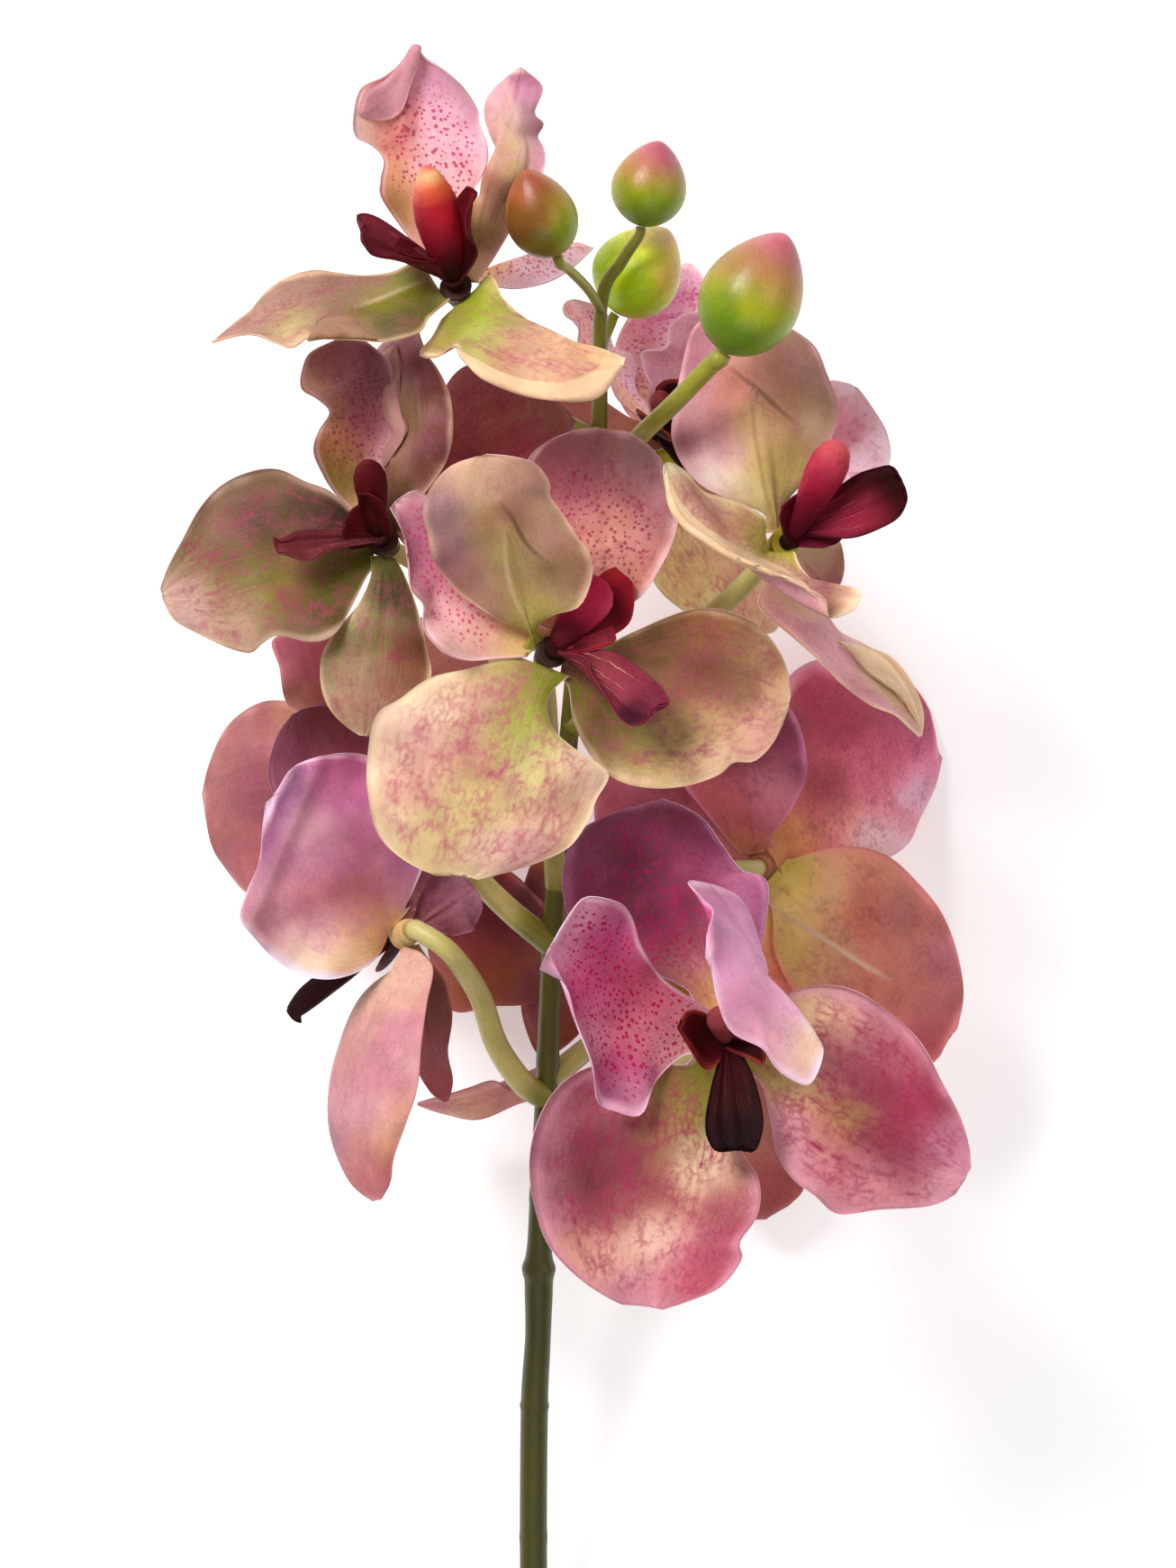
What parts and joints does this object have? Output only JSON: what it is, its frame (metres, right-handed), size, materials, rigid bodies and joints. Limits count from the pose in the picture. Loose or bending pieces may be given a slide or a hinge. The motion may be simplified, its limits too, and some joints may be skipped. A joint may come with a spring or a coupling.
{
  "type": "cut vanda orchid",
  "caption": "Cut flowering stem of a vanda orchid with open wavy-petalled blooms, three-lobed dark lips and closed buds, lying on its back.",
  "frame": {"origin": "below the middle of the whole spray, on the surface that it lies on", "axes": "+Y up the stem from its cut end to its topmost bud, +Z away from the surface, towards someone who looks down on the blooms, +X to their right"},
  "size_m": [0.1699, 0.4022, 0.1315],
  "materials": {
    "petal_cream_pink": "soft matte petal, cream and pink with magenta dots",
    "petal_magenta": "soft matte petal, magenta with a paler rim",
    "petal_rose": "soft matte petal, dusky rose",
    "lip_crimson": "waxy, dark crimson",
    "stem_green": "smooth, matte green",
    "bud_green": "waxy yellow-green",
    "bud_tan": "waxy tan and green"
  },
  "bodies": {
    "root": {"stem": "stem_green", "bloom_top_left": "petal_cream_pink", "bloom_mid_left": "petal_cream_pink", "bloom_centre": "petal_cream_pink", "bloom_upper_right": "petal_cream_pink", "bloom_low_right": "petal_magenta", "bloom_back_right": "petal_rose", "bloom_low_left": "petal_rose", "bloom_back_low": "petal_rose", "bloom_back_left": "petal_rose", "bloom_back_top": "petal_cream_pink", "lip_top_left": "lip_crimson", "lip_mid_left": "lip_crimson", "lip_centre": "lip_crimson", "lip_upper_right": "lip_crimson", "lip_low_right": "lip_crimson", "lip_back_right": "lip_crimson", "lip_low_left": "lip_crimson", "lip_back_low": "lip_crimson", "lip_back_left": "lip_crimson", "lip_back_top": "lip_crimson", "bud_left": "bud_tan", "bud_top": "bud_tan", "bud_back": "bud_green", "bud_right": "bud_tan"}
  },
  "joints": []
}
